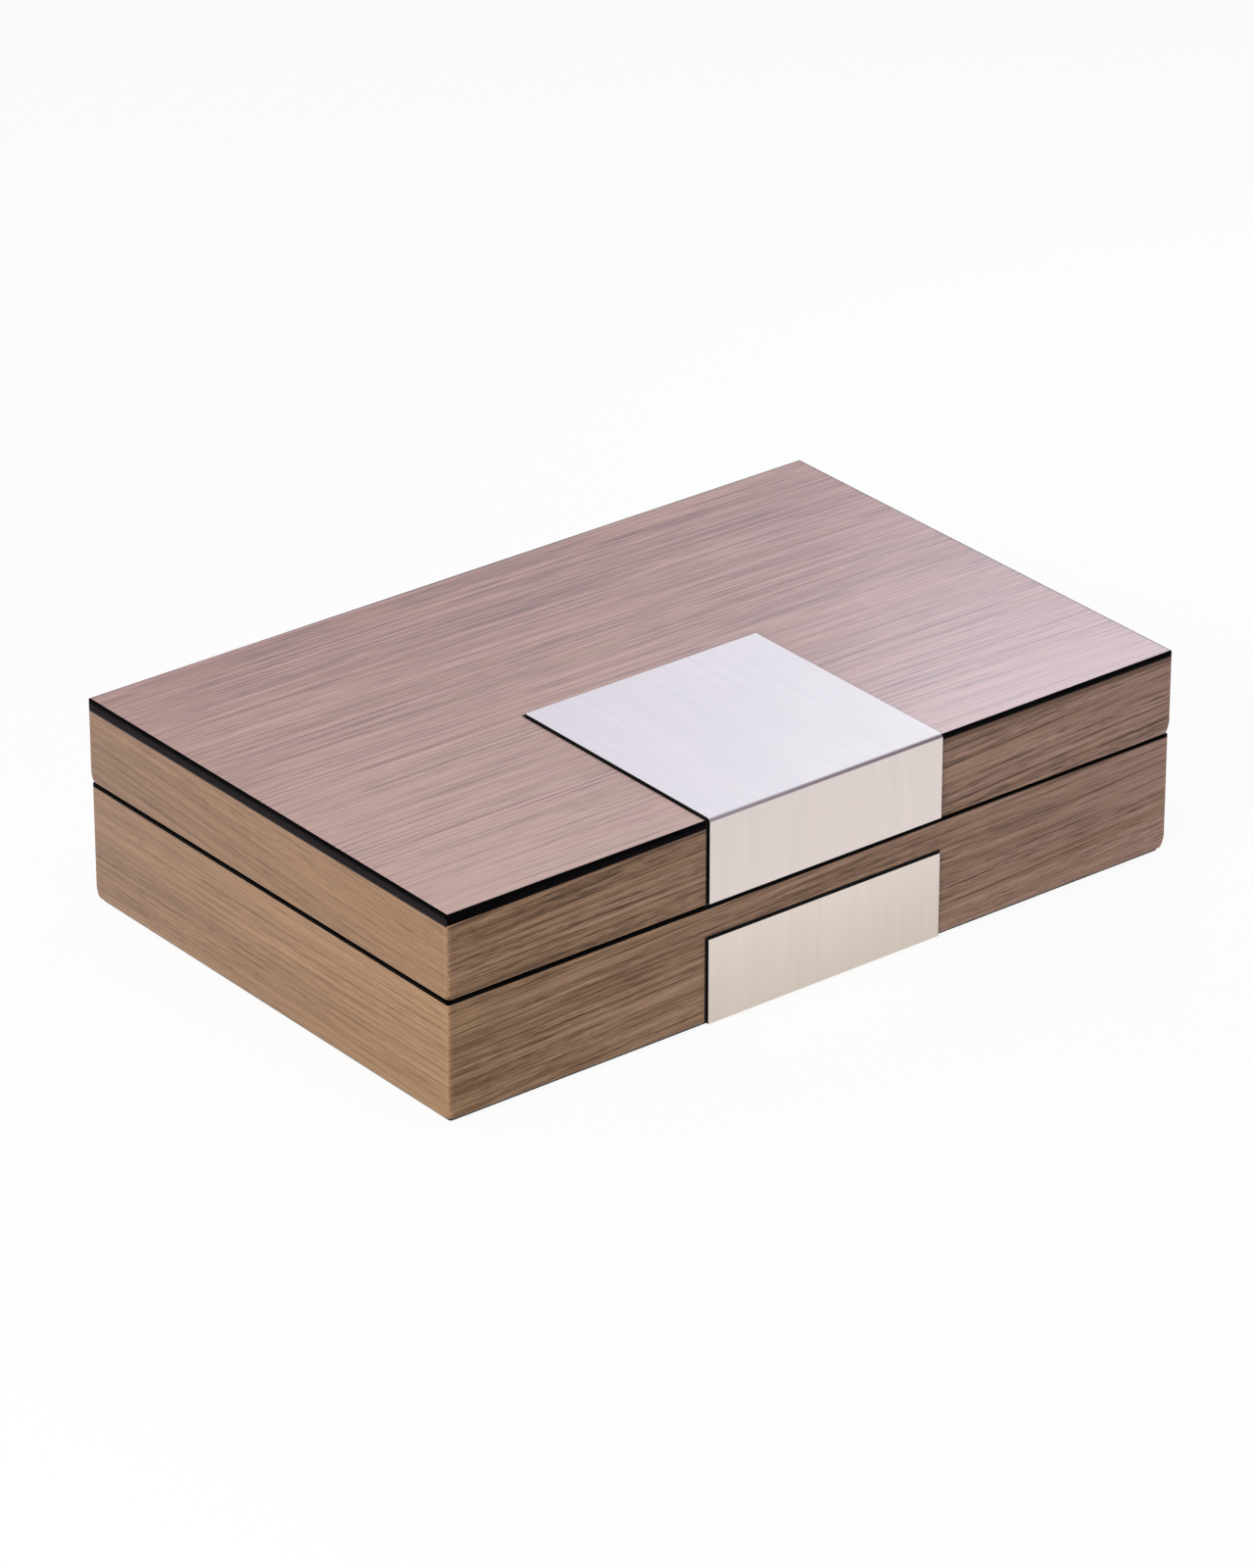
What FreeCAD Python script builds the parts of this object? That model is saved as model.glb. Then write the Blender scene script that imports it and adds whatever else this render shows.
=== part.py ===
# A valet box: a veneered case with a hinged lid, steel plates let into its front and a lined, divided inside.
# The front faces -Y, +X is to the right and +Z is up. The origin is the middle of the underside.
import FreeCAD, Part
import math
import os

V = FreeCAD.Vector

# All lengths are in millimetres.

# Case, seen from outside
case_width = 280.0  # lid, left to right
case_depth = 180.0  # lid, front to back
wall = 10.0  # thickness of every side board
base_inset = 0.3  # the base's sides stand in from the lid's by this much
base_side_height = 38.3  # veneered sides of the base
lid_side_height = 25.1  # veneered sides of the lid
lid_gap = 0.2  # between the closed lid and the base's rim
corner_round = 1.0  # upright corners
foot_round = 1.2  # lower edge of the base's sides
lid_edge_round = 1.5  # lower edge of the lid's sides
sanding_reach = 2.8  # along the level edges, what sanding took off each lower corner
sanding_rise = 6.0  # and up the upright edge
sanding_shares = ((0.68, 1.0), (1.0, 0.55))  # of that reach and rise, the flats that make up the sanding

# Black trim
rim_thickness = 1.0  # lipping on top of the base's sides
top_thickness = 3.4  # lid's top panel, and the black band round its edge
band_thickness = 0.7
band_round = 0.6  # upper edge of the band

# Underside
bottom_thickness = 5.0
bottom_rebate = 5.0  # how far the bottom panel reaches into each side
bottom_clearance = 0.2
felt_thickness = 1.0
felt_inset = 1.6  # from the outside of the base

# Steel plates let into the front
plate_width = 90.0
plate_offset = 1.5  # middle of the plates, right of the middle of the case
plate_thickness = 1.2
plate_recess = 1.0  # depth of the bed cut into the veneer
plate_gap = 0.8  # between a plate and the side of its bed
tape_thickness = 0.6  # black mounting tape under each plate
tape_clearance = 0.1
bend_inside = 0.3  # inner radius of the lid plate's fold
lid_plate_depth = 88.0  # from the front of the lid to the plate's back edge
lid_plate_lift = 1.0  # from the lower edge of the lid's sides to the lower edge of its plate
base_plate_height = 28.4  # from the lower edge of the base's sides

# Lining of the base
liner_thickness = 2.0
liner_drop = 0.4  # from the top of the rim to the top of the liners
wrap_round_share = 0.45  # of a wrapped board's thickness, the rounding of its top edges
floor_lining_thickness = 1.5
lining_clearance = 0.3

# Dividers
divider_thickness = 4.0
divider_height = 26.0
dado_depth = 1.4  # groove in the long divider that takes a cross divider's end
dado_clearance = 0.1
front_row_depth = 71.0  # clear depth of the front compartments
front_compartments = 3
ring_bay_width = 104.0  # clear width of the bay that holds the ring rolls

# Ring rolls
roll_count = 6
roll_height = 20.0
roll_gap = 0.4
roll_end_gap = 0.6
roll_end = 5.0  # length of the drawn-in end of a roll
roll_end_shares = (0.0, 0.25, 0.6, 1.0)  # places along the drawn-in end
roll_size_shares = (0.72, 0.88, 0.97, 1.0)  # size of the roll's section at those places

# Lining of the lid
lid_liner_thickness = 1.5
lid_liner_drop = 1.0  # from the lower edge of the lid to the lower edge of its liners
pad_board_thickness = 2.0
pad_thickness = 6.0
pad_clearance = 0.5
pad_corner = 3.0
pad_crown = 34.0  # how far in from its edge the pad keeps rising
pad_depth_shares = (0.0, 0.5, 0.72, 0.9, 1.0)  # levels through the pad, from its board to its face
pad_inset_shares = (0.0, 0.0, 0.05, 0.3, 1.0)  # of the crown, how far in the outline is at those levels

# Hinges, a left and a right one
hinge_end_distance = 52.0  # from the end of the case to the middle of a hinge
hinge_length = 32.0
leaf_thickness = 1.6
leaf_margin = 2.0  # wood left between a leaf and the inside of the wall
mortise_clearance = 0.1
barrel_radius = 2.2
barrel_standoff = 0.3  # between the barrel and the back of the lid
barrel_clearance = 0.2  # between a knuckle and the other leaf
middle_knuckle = 14.0
knuckle_gap = 0.2
heel_depth = 3.4  # stop heels, measured from the hinge's axis
opening_angle = 95.0  # degrees, where the two heels meet
stop_ease = 0.6  # degrees left between the heels at that angle
pin_radius = 1.0
pin_clearance = 0.05
pin_head_radius = 1.7
pin_head_thickness = 0.7

# Hinge screws
screw_radius = 1.0
screw_head_radius = 2.0
screw_length = 10.0
screw_spacing = 20.0  # between the two screws of a leaf
screw_clearance = 0.05
slot_width = 0.5
slot_depth = 0.6

# Closing magnets, in the front of the base and of the lid
magnet_radius = 3.0
magnet_thickness = 3.0
magnet_end_distance = 37.0  # from the end of the case to the middle of a magnet
magnet_clearance = 0.05

overrun = 2.0  # how far every cutting shape reaches past what it cuts
level_share = 1e-6  # of the case's width, the most by which a level edge may be off its level

# Levels, from the table upwards
base_bottom = felt_thickness
panel_top = base_bottom + bottom_thickness
floor_top = panel_top + floor_lining_thickness
base_top = base_bottom + base_side_height
rim_top = base_top + rim_thickness
lid_bottom = rim_top + lid_gap
lid_side_top = lid_bottom + lid_side_height
lid_top = lid_side_top + top_thickness

# Outlines that several pieces share
base_width = case_width - 2 * base_inset
base_depth = case_depth - 2 * base_inset
base_inside_width = base_width - 2 * wall
base_inside_depth = base_depth - 2 * wall
clear_width = base_inside_width - 2 * liner_thickness
clear_depth = base_inside_depth - 2 * liner_thickness
lid_inside_width = case_width - 2 * wall
lid_inside_depth = case_depth - 2 * wall
plate_left = plate_offset - plate_width / 2
plate_right = plate_offset + plate_width / 2
axis_y = case_depth / 2 + barrel_standoff + barrel_radius
axis_z = rim_top + lid_gap / 2
leaf_front = case_depth / 2 - wall + leaf_margin
screw_y = (leaf_front + base_depth / 2) / 2
hinge_x = case_width / 2 - hinge_end_distance
hinge_middles = {"left": -hinge_x, "right": hinge_x}
magnet_x = case_width / 2 - magnet_end_distance
magnet_middles = (-magnet_x, magnet_x)
magnet_y = -(base_depth - wall) / 2


def box(x, y, z):
    # A box from three pairs of limits.
    return Part.makeBox(x[1] - x[0], y[1] - y[0], z[1] - z[0], V(x[0], y[0], z[0]))


def centred_box(width, depth, z):
    return box((-width / 2, width / 2), (-depth / 2, depth / 2), z)


def upright_cylinder(radius, x, y, z):
    return Part.makeCylinder(radius, z[1] - z[0], V(x, y, z[0]))


def cross_cylinder(radius, x):
    # A cylinder round the hinge's axis.
    return Part.makeCylinder(radius, x[1] - x[0], V(x[0], axis_y, axis_z), V(1, 0, 0))


def upright_prism(outline, z):
    points = [V(x, y, z[0]) for x, y in outline]
    return Part.Face(Part.makePolygon(points + points[:1])).extrude(V(0, 0, z[1] - z[0]))


def cross_prism(outline, x):
    points = [V(x[0], y, z) for y, z in outline]
    return Part.Face(Part.makePolygon(points + points[:1])).extrude(V(x[1] - x[0], 0, 0))


def join(shapes):
    shapes = list(shapes)
    return shapes[0].multiFuse(shapes[1:]).removeSplitter()


def cut_all(shape, cutters):
    return shape.cut(list(cutters))


def edges_at(shape, z):
    # The edges that lie flat at one height.
    near = case_width * level_share
    return [e for e in shape.Edges if all(abs(v.Z - z) < near for v in e.Vertexes)]


def rounded_rectangle(width, depth, radius, z):
    # A closed outline of four lines and four quarter arcs.
    w, d = width / 2, depth / 2
    inner = radius * (1 - math.sqrt(1 / 2))
    edges = []
    for sx, sy in ((1, 1), (-1, 1), (-1, -1), (1, -1)):
        on_side = V(sx * w, sy * (d - radius), z)
        on_end = V(sx * (w - radius), sy * d, z)
        middle = V(sx * (w - inner), sy * (d - inner), z)
        first, last = (on_side, on_end) if sx * sy > 0 else (on_end, on_side)
        if edges:
            edges.append(Part.LineSegment(edges[-1].Vertexes[-1].Point, first).toShape())
        edges.append(Part.Arc(first, middle, last).toShape())
    edges.append(Part.LineSegment(edges[-1].Vertexes[-1].Point, edges[0].Vertexes[0].Point).toShape())
    return Part.Wire(edges)


def rounded_block(width, depth, radius, z):
    outline = rounded_rectangle(width, depth, radius, z[0])
    return Part.Face(outline).extrude(V(0, 0, z[1] - z[0]))


def sanded_corners(width, depth, foot):
    # What sanding takes off the four lower corners of a block: slant wedges, each past the block's faces.
    wedges = []
    for sx, sy in ((1, 1), (-1, 1), (-1, -1), (1, -1)):
        for along, up in sanding_shares:
            reach, rise = sanding_reach * along, sanding_rise * up
            level = reach + 2 * overrun + overrun * reach / rise
            upright = rise + overrun + 2 * overrun * rise / reach
            tip = V(sx * (width / 2 + overrun), sy * (depth / 2 + overrun), foot - overrun)
            foot_points = [tip, tip - V(sx * level, 0, 0), tip - V(0, sy * level, 0), tip]
            peak = Part.Vertex(tip + V(0, 0, upright))
            wedges.append(Part.makeLoft([Part.makePolygon(foot_points), peak], True, True))
    return wedges


def eased_block(width, depth, lower_round, z):
    # A block with rounded upright corners, a rounded lower edge and sanded lower corners.
    plain = centred_box(width, depth, z)
    plain = plain.makeFillet(lower_round, edges_at(plain, z[0]))
    plain = plain.common(rounded_block(width, depth, corner_round, z))
    return cut_all(plain, sanded_corners(width, depth, z[0]))


def four_sides(frame, width, depth, thickness, z):
    # Cuts a rectangular frame into front, back, left and right boards that meet in mitres.
    w, d = width / 2 + overrun, depth / 2 + overrun
    reach = thickness + 2 * overrun
    z = (z[0] - overrun, z[1] + overrun)
    near = ((-w, -d), (w, -d), (w - reach, -d + reach), (-w + reach, -d + reach))
    side = ((-w, -d), (-w + reach, -d + reach), (-w + reach, d - reach), (-w, d))
    wedges = {
        "front": near,
        "back": [(x, -y) for x, y in near],
        "left": side,
        "right": [(-x, y) for x, y in side],
    }
    return {name: frame.common(upright_prism(outline, z)) for name, outline in wedges.items()}


def mirrored_to_lid(shape):
    # The same shape on the other side of the seam.
    return shape.mirror(V(0, 0, axis_z), V(0, 0, 1))


def screw_places():
    return [(x + side * screw_spacing / 2, screw_y) for x in hinge_middles.values() for side in (-1, 1)]


def screw_form(x, y, ease):
    # A countersunk screw driven down through a base leaf. Ease is what its hole has over the screw.
    head_height = screw_head_radius - screw_radius
    foot = V(x, y, rim_top - head_height)
    head = Part.makeCone(screw_radius + ease, screw_head_radius + ease, head_height, foot)
    shank = upright_cylinder(screw_radius + ease, x, y, (rim_top - screw_length - ease, rim_top))
    return join([head, shank])


def screws():
    half = screw_head_radius + overrun
    made = []
    for x, y in screw_places():
        slot = box((x - half, x + half), (y - slot_width / 2, y + slot_width / 2),
                   (rim_top - slot_depth, rim_top + overrun))
        made.append(screw_form(x, y, 0).cut(slot))
    return Part.makeCompound(made)


def hinge_cuts():
    # What the base's sides and rim lose to the two hinges: leaf mortises and screw holes.
    cuts = [screw_form(x, y, screw_clearance) for x, y in screw_places()]
    half = hinge_length / 2 + mortise_clearance
    for x in hinge_middles.values():
        cuts.append(box((x - half, x + half), (leaf_front - mortise_clearance, case_depth / 2 + overrun),
                        (rim_top - leaf_thickness, rim_top + overrun)))
    return cuts


def hinge_leaf(middle, own_spans, other_spans):
    # A leaf of the base, with the knuckles it carries and the heel that stops the lid.
    span = (middle - hinge_length / 2, middle + hinge_length / 2)
    plate = box(span, (leaf_front, axis_y), (rim_top - leaf_thickness, rim_top))
    slope = math.tan(math.radians((opening_angle + stop_ease) / 2))
    near, low = lid_gap / 2, heel_depth
    heel_back = case_depth / 2 - axis_y
    heel = ((heel_back, -near), (near / slope, -near), (low / slope, -low), (heel_back, -low))
    heel = cross_prism([(axis_y + y, axis_z + z) for y, z in heel], span)
    room = [cross_cylinder(barrel_radius + barrel_clearance, (a - knuckle_gap, b + knuckle_gap))
            for a, b in other_spans]
    knuckles = [cross_cylinder(barrel_radius, s) for s in own_spans]
    bore = cross_cylinder(pin_radius + pin_clearance, (span[0] - overrun, span[1] + overrun))
    holes = [screw_form(x, y, screw_clearance) for x, y in screw_places()]
    body = cut_all(join([plate, heel]), room)
    return cut_all(join([body] + knuckles), [bore] + holes)


def hinge_spans(middle):
    # Where the base's two end knuckles and the lid's middle one lie along the axis.
    inner, outer = middle_knuckle / 2, hinge_length / 2
    ends = [(middle - outer, middle - inner - knuckle_gap), (middle + inner + knuckle_gap, middle + outer)]
    return ends, [(middle - inner, middle + inner)]


def hinges():
    made = {}
    for name, middle in hinge_middles.items():
        ends, centre = hinge_spans(middle)
        made[f"hinge_{name}_base_leaf"] = hinge_leaf(middle, ends, centre)
        made[f"hinge_{name}_lid_leaf"] = mirrored_to_lid(hinge_leaf(middle, centre, ends))
        left, right = middle - hinge_length / 2, middle + hinge_length / 2
        made[f"hinge_{name}_pin"] = join([
            cross_cylinder(pin_radius, (left, right)),
            cross_cylinder(pin_head_radius, (left - pin_head_thickness, left)),
            cross_cylinder(pin_head_radius, (right, right + pin_head_thickness)),
        ])
    made["base_hinge_screws"] = screws()
    made["lid_hinge_screws"] = mirrored_to_lid(screws())
    return made


def magnets(ease):
    z = (rim_top - magnet_thickness, rim_top + (overrun if ease else 0))
    return [upright_cylinder(magnet_radius + ease, x, magnet_y, z) for x in magnet_middles]


def plate_bed(face_y, z):
    # The bed cut into a front face for a plate, open downwards.
    x = (plate_left - plate_gap, plate_right + plate_gap)
    return box(x, (face_y - overrun, face_y + plate_recess), z)


def base_sides():
    z = (base_bottom, base_top)
    sides = eased_block(base_width, base_depth, foot_round, z)
    past = (base_bottom - overrun, base_top + overrun)
    width = base_inside_width + 2 * bottom_rebate
    depth = base_inside_depth + 2 * bottom_rebate
    cuts = [
        centred_box(base_inside_width, base_inside_depth, past),
        centred_box(width, depth, (base_bottom - overrun, panel_top)),
        plate_bed(-base_depth / 2, (base_bottom - overrun, base_bottom + base_plate_height + plate_gap)),
    ]
    sides = cut_all(sides, cuts + magnets(magnet_clearance) + hinge_cuts())
    return {f"base_{name}": s for name, s in four_sides(sides, base_width, base_depth, wall, z).items()}


def base_rim():
    z = (base_top, rim_top)
    rim = rounded_block(base_width, base_depth, corner_round, z)
    opening = centred_box(base_inside_width, base_inside_depth, (base_top - overrun, rim_top + overrun))
    rim = cut_all(rim, [opening] + magnets(magnet_clearance) + hinge_cuts())
    return {f"rim_{name}": s for name, s in four_sides(rim, base_width, base_depth, wall, z).items()}


def base_underside():
    reach = 2 * (bottom_rebate - bottom_clearance)
    width, depth = base_inside_width + reach, base_inside_depth + reach
    felt_width, felt_depth = base_width - 2 * felt_inset, base_depth - 2 * felt_inset
    return {
        "bottom_panel": centred_box(width, depth, (base_bottom, panel_top)),
        "felt_sheet": rounded_block(felt_width, felt_depth, corner_round, (0, felt_thickness)),
    }


def base_plate():
    # The lower plate and its tape, on the front of the base.
    bed = -base_depth / 2 + plate_recess
    tape_front = bed - tape_thickness
    top = base_bottom + base_plate_height
    side = plate_gap - tape_clearance
    plate_x, tape_x = (plate_left, plate_right), (plate_left - side, plate_right + side)
    return {
        "base_plate": box(plate_x, (tape_front - plate_thickness, tape_front), (base_bottom, top)),
        "base_plate_tape": box(tape_x, (tape_front, bed), (base_bottom, top + side)),
    }


def base_lining():
    z = (panel_top, rim_top - liner_drop)
    frame = centred_box(base_inside_width, base_inside_depth, z)
    frame = frame.cut(centred_box(clear_width, clear_depth, (z[0] - overrun, z[1] + overrun)))
    frame = frame.makeFillet(liner_thickness * wrap_round_share, edges_at(frame, z[1]))
    sides = four_sides(frame, base_inside_width, base_inside_depth, liner_thickness, z)
    made = {f"base_liner_{name}": s for name, s in sides.items()}
    ease = 2 * lining_clearance
    made["floor_lining"] = centred_box(clear_width - ease, clear_depth - ease, (panel_top, floor_top))
    return made


def wrapped_board(x, y):
    # A divider: a board wrapped in cloth, with rounded top edges.
    top = floor_top + divider_height
    board = box(x, y, (floor_top, top))
    return board.makeFillet(divider_thickness * wrap_round_share, edges_at(board, top))


def divider_places():
    # Limits of the long divider in Y, and of each cross divider in X with the row that it stands in.
    half = divider_thickness / 2
    long_middle = -clear_depth / 2 + front_row_depth + half
    ring_middle = clear_width / 2 - ring_bay_width - half
    step = (clear_width + divider_thickness) / front_compartments
    cross = {"ring_bay_divider": (ring_middle, "back")}
    for k in range(1, front_compartments):
        cross[f"front_divider_{k}"] = (-clear_width / 2 + k * step - half, "front")
    return (long_middle - half, long_middle + half), cross


def dividers():
    (near, far), cross = divider_places()
    half = divider_thickness / 2
    ends = clear_width / 2 - lining_clearance
    long_divider = wrapped_board((-ends, ends), (near, far))
    made = {}
    for name, (x, row) in cross.items():
        if row == "front":
            y = (-clear_depth / 2 + lining_clearance, near + dado_depth - dado_clearance)
            groove = (near - overrun, near + dado_depth)
        else:
            y = (far - dado_depth + dado_clearance, clear_depth / 2 - lining_clearance)
            groove = (far - dado_depth, far + overrun)
        made[name] = wrapped_board((x - half, x + half), y)
        side = half + dado_clearance
        long_divider = long_divider.cut(
            box((x - side, x + side), groove, (floor_top - overrun, floor_top + divider_height + overrun)))
    made["long_divider"] = long_divider
    return made


def roll_section(x, y, width, height):
    # An arch on a flat foot: two short sides, two quarter arcs and the foot.
    r = width / 2
    shoulder, crown = floor_top + height - r, floor_top + height
    bulge = r * math.sqrt(1 / 2)
    points = {
        "foot_near": V(x, y - r, floor_top), "foot_far": V(x, y + r, floor_top),
        "near": V(x, y - r, shoulder), "far": V(x, y + r, shoulder), "top": V(x, y, crown),
    }
    return Part.Wire([
        Part.LineSegment(points["foot_near"], points["near"]).toShape(),
        Part.Arc(points["near"], V(x, y - bulge, shoulder + bulge), points["top"]).toShape(),
        Part.Arc(points["top"], V(x, y + bulge, shoulder + bulge), points["far"]).toShape(),
        Part.LineSegment(points["far"], points["foot_far"]).toShape(),
        Part.LineSegment(points["foot_far"], points["foot_near"]).toShape(),
    ])


def ring_rolls():
    (_, far), _ = divider_places()
    bay = (far, clear_depth / 2)
    pitch = (bay[1] - bay[0] - roll_gap) / roll_count
    width = pitch - roll_gap
    left = clear_width / 2 - ring_bay_width + roll_end_gap
    right = clear_width / 2 - roll_end_gap
    end = list(zip(roll_end_shares, roll_size_shares))
    stations = [(left + roll_end * p, s) for p, s in end]
    stations += [(right - roll_end * p, s) for p, s in reversed(end)]
    made = {}
    for k in range(roll_count):
        y = bay[0] + roll_gap + pitch * k + width / 2
        sections = [roll_section(x, y, width * s, roll_height * s) for x, s in stations]
        made[f"ring_roll_{k + 1}"] = Part.makeLoft(sections, True, True)
    return made


def lid_sides():
    z = (lid_bottom, lid_side_top)
    sides = eased_block(case_width, case_depth, lid_edge_round, z)
    past = (lid_bottom - overrun, lid_side_top + overrun)
    cuts = [centred_box(lid_inside_width, lid_inside_depth, past), plate_bed(-case_depth / 2, past)]
    cuts += [mirrored_to_lid(c) for c in magnets(magnet_clearance) + hinge_cuts()]
    sides = cut_all(sides, cuts)
    return {f"lid_{name}": s for name, s in four_sides(sides, case_width, case_depth, wall, z).items()}


def lid_panel():
    # The top panel, and the black band round its edge, which the lid plate interrupts.
    z = (lid_side_top, lid_top)
    slab = centred_box(case_width, case_depth, z)
    slab = slab.makeFillet(band_round, edges_at(slab, lid_top))
    slab = slab.common(rounded_block(case_width, case_depth, corner_round, z))
    past = (lid_side_top - overrun, lid_top + overrun)
    inside = centred_box(case_width - 2 * band_thickness, case_depth - 2 * band_thickness, past)
    front = -case_depth / 2
    top_bed = box((plate_left - plate_gap, plate_right + plate_gap),
                  (front - overrun, front + lid_plate_depth + plate_gap), (lid_top - plate_recess, past[1]))
    beds = [top_bed, plate_bed(front, past)]
    band = cut_all(slab, [inside] + beds)
    bands = four_sides(band, case_width, case_depth, band_thickness, z)
    made = {f"edge_band_{name}": s for name, s in bands.items()}
    made["lid_top_panel"] = cut_all(slab.common(inside), beds)
    return made


def lid_plate():
    # A strip of sheet folded over the lid's front edge, and the tape under each half of it.
    front_bed = -case_depth / 2 + plate_recess
    top_bed = lid_top - plate_recess
    back = -case_depth / 2 + lid_plate_depth
    inner_y, inner_z = front_bed - tape_thickness, top_bed + tape_thickness
    outer_y, outer_z = inner_y - plate_thickness, inner_z + plate_thickness
    bend = bend_inside + plate_thickness

    def point(y, z):
        return V(plate_left, y, z)

    def line(a, b):
        return Part.LineSegment(a, b).toShape()

    def fold(y, z, radius):
        # A quarter arc round (y, z), from the top of the sheet to its front.
        slant = radius * math.sqrt(1 / 2)
        return Part.Arc(point(y, z + radius), point(y - slant, z + slant), point(y - radius, z)).toShape()

    fold_y, fold_z = inner_y + bend_inside, inner_z - bend_inside
    outer, inner = fold(fold_y, fold_z, bend), fold(fold_y, fold_z, bend_inside)
    foot = lid_bottom + lid_plate_lift
    corners = [point(outer_y, foot), point(inner_y, foot), point(back, inner_z), point(back, outer_z)]
    outline = Part.Wire([
        outer,
        line(point(outer_y, fold_z), corners[0]),
        line(corners[0], corners[1]),
        line(corners[1], point(inner_y, fold_z)),
        inner,
        line(point(fold_y, inner_z), corners[2]),
        line(corners[2], corners[3]),
        line(corners[3], point(fold_y, outer_z)),
    ])
    side = plate_gap - tape_clearance
    x = (plate_left - side, plate_right + side)
    tapes = [
        box(x, (front_bed, back + side), (top_bed, inner_z)),
        box(x, (inner_y, front_bed), (lid_bottom, top_bed)),
    ]
    return {
        "lid_plate": Part.Face(outline).extrude(V(plate_width, 0, 0)),
        "lid_plate_tape": Part.makeCompound(tapes),
    }


def lid_lining():
    z = (lid_bottom + lid_liner_drop, lid_side_top)
    frame = centred_box(lid_inside_width, lid_inside_depth, z)
    clear = (lid_inside_width - 2 * lid_liner_thickness, lid_inside_depth - 2 * lid_liner_thickness)
    frame = frame.cut(centred_box(*clear, (z[0] - overrun, z[1] + overrun)))
    frame = frame.makeFillet(lid_liner_thickness * wrap_round_share, edges_at(frame, z[0]))
    sides = four_sides(frame, lid_inside_width, lid_inside_depth, lid_liner_thickness, z)
    made = {f"lid_liner_{name}": s for name, s in sides.items()}
    width, depth = clear[0] - 2 * pad_clearance, clear[1] - 2 * pad_clearance
    board_bottom = lid_side_top - pad_board_thickness
    made["lid_pad_board"] = centred_box(width, depth, (board_bottom, lid_side_top))
    outlines = []
    for level, share in zip(pad_depth_shares, pad_inset_shares):
        inset = pad_crown * share
        outlines.append(rounded_rectangle(width - 2 * inset, depth - 2 * inset, pad_corner + inset / 2,
                                          board_bottom - pad_thickness * level))
    made["lid_pad"] = Part.makeLoft(outlines, True, True)
    return made


def all_parts():
    made = {}
    groups = (
        base_sides, base_rim, base_underside, base_plate, base_lining, dividers, ring_rolls,
        lid_sides, lid_panel, lid_plate, lid_lining, hinges,
    )
    for group in groups:
        made.update(group())
    made["base_magnets"] = Part.makeCompound(magnets(0))
    made["lid_magnets"] = mirrored_to_lid(Part.makeCompound(magnets(0)))
    return made


def main():
    os.makedirs("parts", exist_ok=True)
    for name, shape in all_parts().items():
        shape.exportStep(f"parts/{name}.step")
        print(name, "solids", len(shape.Solids), "volume", round(shape.Volume, 1), "valid", shape.isValid())


main()
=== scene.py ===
import math

import bmesh
import bpy
from mathutils import Matrix, Vector


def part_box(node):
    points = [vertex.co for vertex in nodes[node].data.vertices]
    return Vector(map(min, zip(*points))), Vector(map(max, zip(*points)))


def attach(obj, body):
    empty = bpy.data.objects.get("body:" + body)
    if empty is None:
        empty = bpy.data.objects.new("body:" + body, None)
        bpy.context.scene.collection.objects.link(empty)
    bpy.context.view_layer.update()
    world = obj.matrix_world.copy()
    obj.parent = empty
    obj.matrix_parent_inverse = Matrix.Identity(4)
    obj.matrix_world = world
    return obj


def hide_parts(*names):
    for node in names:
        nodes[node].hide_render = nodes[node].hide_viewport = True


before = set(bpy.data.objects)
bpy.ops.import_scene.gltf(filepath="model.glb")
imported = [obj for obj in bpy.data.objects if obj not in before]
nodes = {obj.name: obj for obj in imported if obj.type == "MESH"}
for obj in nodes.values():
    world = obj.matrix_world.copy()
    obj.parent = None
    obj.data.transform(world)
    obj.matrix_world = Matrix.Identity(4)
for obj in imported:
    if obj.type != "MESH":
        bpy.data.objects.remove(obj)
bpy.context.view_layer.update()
mm = 0.001  # one millimetre, in Blender's metres
eased = {"interpolation_type": "SMOOTHSTEP"}  # a Map Range with soft ends
mixed = {"data_type": "RGBA"}  # a Mix of colours: input 0 is the share, 6 and 7 the colours, output 2 the result
print("frame loaded:", len(nodes), "nodes")


def linear(hexColour):
    # sRGB hex to the linear colour that shaders use
    parts = [int(hexColour[i:i + 2], 16) / 255 for i in (1, 3, 5)]
    return tuple(c / 12.92 if c <= 0.04045 else ((c + 0.055) / 1.055) ** 2.4 for c in parts) + (1.0,)


def addNode(tree, kind, settings={}, values={}, links={}, stops=()):
    # one node, with its settings, socket values, incoming links and, on a ramp, its first stop, its last and
    # those between; a link comes from the socket that is given, or from the first one of a node
    node = tree.nodes.new(kind)
    for key, value in settings.items():
        setattr(node, key, value)
    for socket, value in values.items():
        node.inputs[socket].default_value = value
    for socket, source in links.items():
        tree.links.new(getattr(source, "outputs", [source])[0], node.inputs[socket])
    for index, (place, colour) in enumerate(stops):
        ramp = node.color_ramp.elements
        stop = ramp[index] if index < 2 else ramp.new(place)
        stop.position, stop.color = place, linear(colour)
    return node


def newMaterial(name):
    material = bpy.data.materials.new(name)
    material.use_nodes = True
    material.node_tree.nodes.clear()
    return material, material.node_tree


def closeMaterial(tree, values, links):
    # the shader and the output that every finish of the box ends in
    shader = addNode(tree, "ShaderNodeBsdfPrincipled", values=values, links=links)
    addNode(tree, "ShaderNodeOutputMaterial", links={"Surface": shader})


def dress(material, *names):
    for name in names:
        mesh = nodes[name].data
        mesh.materials.clear()
        mesh.materials.append(material)


# Walnut veneer

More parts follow.
